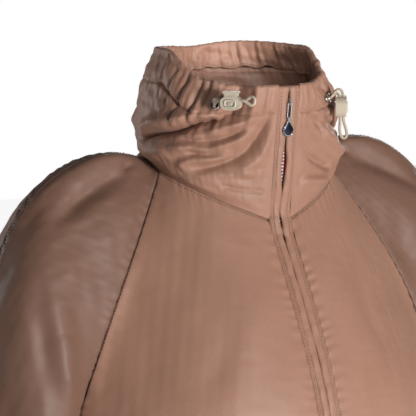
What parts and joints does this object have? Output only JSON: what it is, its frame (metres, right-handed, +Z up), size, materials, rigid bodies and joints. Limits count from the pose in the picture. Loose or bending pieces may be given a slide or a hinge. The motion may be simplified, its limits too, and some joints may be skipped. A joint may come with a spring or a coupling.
{
  "type": "jacket",
  "caption": "Funnel-neck raglan windbreaker in worn form, with a full front zip, a drawcord collar with cord locks and elasticated cuffs.",
  "frame": {"origin": "middle of the neck at the height where the jacket rests on the shoulders", "axes": "+Z up, -Y out of the front, +X towards the wearer's left"},
  "size_m": [0.6862, 0.2886, 0.7265],
  "materials": {
    "shell_fabric": "crisp taffeta with a soft sheen",
    "lining_fabric": "same taffeta, inner face",
    "loop_tape": "woven tape",
    "elastic": "ribbed knitted elastic",
    "drawcord": "braided elastic cord",
    "zip_tape": "woven tape with a white and navy edge",
    "zip_coil": "moulded coil",
    "cord_lock": "smooth moulded ivory",
    "spring_steel": "bright wire",
    "zip_chrome": "polished",
    "zip_metal": "satin",
    "eyelet_metal": "polished nickel"
  },
  "bodies": {
    "jacket": {"front_right_panel": "shell_fabric", "front_left_panel": "shell_fabric", "back_panel": "shell_fabric", "right_sleeve_front": "shell_fabric", "right_sleeve_back": "shell_fabric", "left_sleeve_front": "shell_fabric", "left_sleeve_back": "shell_fabric", "right_cuff": "shell_fabric", "left_cuff": "shell_fabric", "right_cuff_elastic": "elastic", "left_cuff_elastic": "elastic", "hem_band": "shell_fabric", "hem_elastic": "elastic", "collar_outer": "shell_fabric", "collar_lining": "lining_fabric", "collar_drawcord": "drawcord", "hanger_loop": "loop_tape", "zip_facing_right": "shell_fabric", "zip_facing_left": "shell_fabric", "zip_tape_right": "zip_tape", "zip_tape_left": "zip_tape", "zip_coil_right": "zip_coil", "zip_coil_left": "zip_coil", "zip_top_stops": "zip_metal", "zip_insertion_pin": "zip_metal", "zip_retainer_box": "zip_metal", "eyelet_right": "eyelet_metal", "eyelet_left": "eyelet_metal", "eyelet_washer_right": "eyelet_metal", "eyelet_washer_left": "eyelet_metal", "cord_loop_right": "drawcord", "cord_loop_left": "drawcord"},
    "slider": {"zip_slider": "zip_chrome"},
    "link": {"slider_link": "zip_chrome"},
    "pull": {"slider_pull": "zip_chrome"},
    "lock_right": {"cord_lock_body_right": "cord_lock", "cord_lock_spring_right": "spring_steel"},
    "lock_left": {"cord_lock_body_left": "cord_lock", "cord_lock_spring_left": "spring_steel"},
    "plunger_right": {"cord_lock_plunger_right": "cord_lock"},
    "plunger_left": {"cord_lock_plunger_left": "cord_lock"}
  },
  "joints": [
    {"name": "zip_slide", "type": "slide", "parent": "jacket", "child": "slider", "axis": [0, 0.112, -0.9937], "range_m": [0, 0.074]},
    {"name": "link_swing", "type": "hinge", "parent": "slider", "child": "link", "pos_m": [0, -0.08612, 0.04385], "axis": [-1, 0, 0], "range_deg": [0, 115]},
    {"name": "pull_swing", "type": "hinge", "parent": "link", "child": "pull", "pos_m": [0, -0.08455, 0.02993], "axis": [-1, 0, 0], "range_deg": [0, 60]},
    {"name": "lock_right_slide", "type": "slide", "parent": "jacket", "child": "lock_right", "axis": [0.6428, -0.766, 0], "range_m": [-0.0015, 0.003]},
    {"name": "lock_left_slide", "type": "slide", "parent": "jacket", "child": "lock_left", "axis": [0.1804, 0.215, -0.9598], "range_m": [-0.001, 0.002]},
    {"name": "plunger_right_press", "type": "slide", "parent": "lock_right", "child": "plunger_right", "axis": [0, 0, -1], "range_m": [0, 0.0024], "stiffness_N_per_m": 600, "deforming": ["cord_lock_spring_right"]},
    {"name": "plunger_left_press", "type": "slide", "parent": "lock_left", "child": "plunger_left", "axis": [-0.617, -0.7353, -0.2807], "range_m": [0, 0.0024], "stiffness_N_per_m": 600, "deforming": ["cord_lock_spring_left"]}
  ]
}
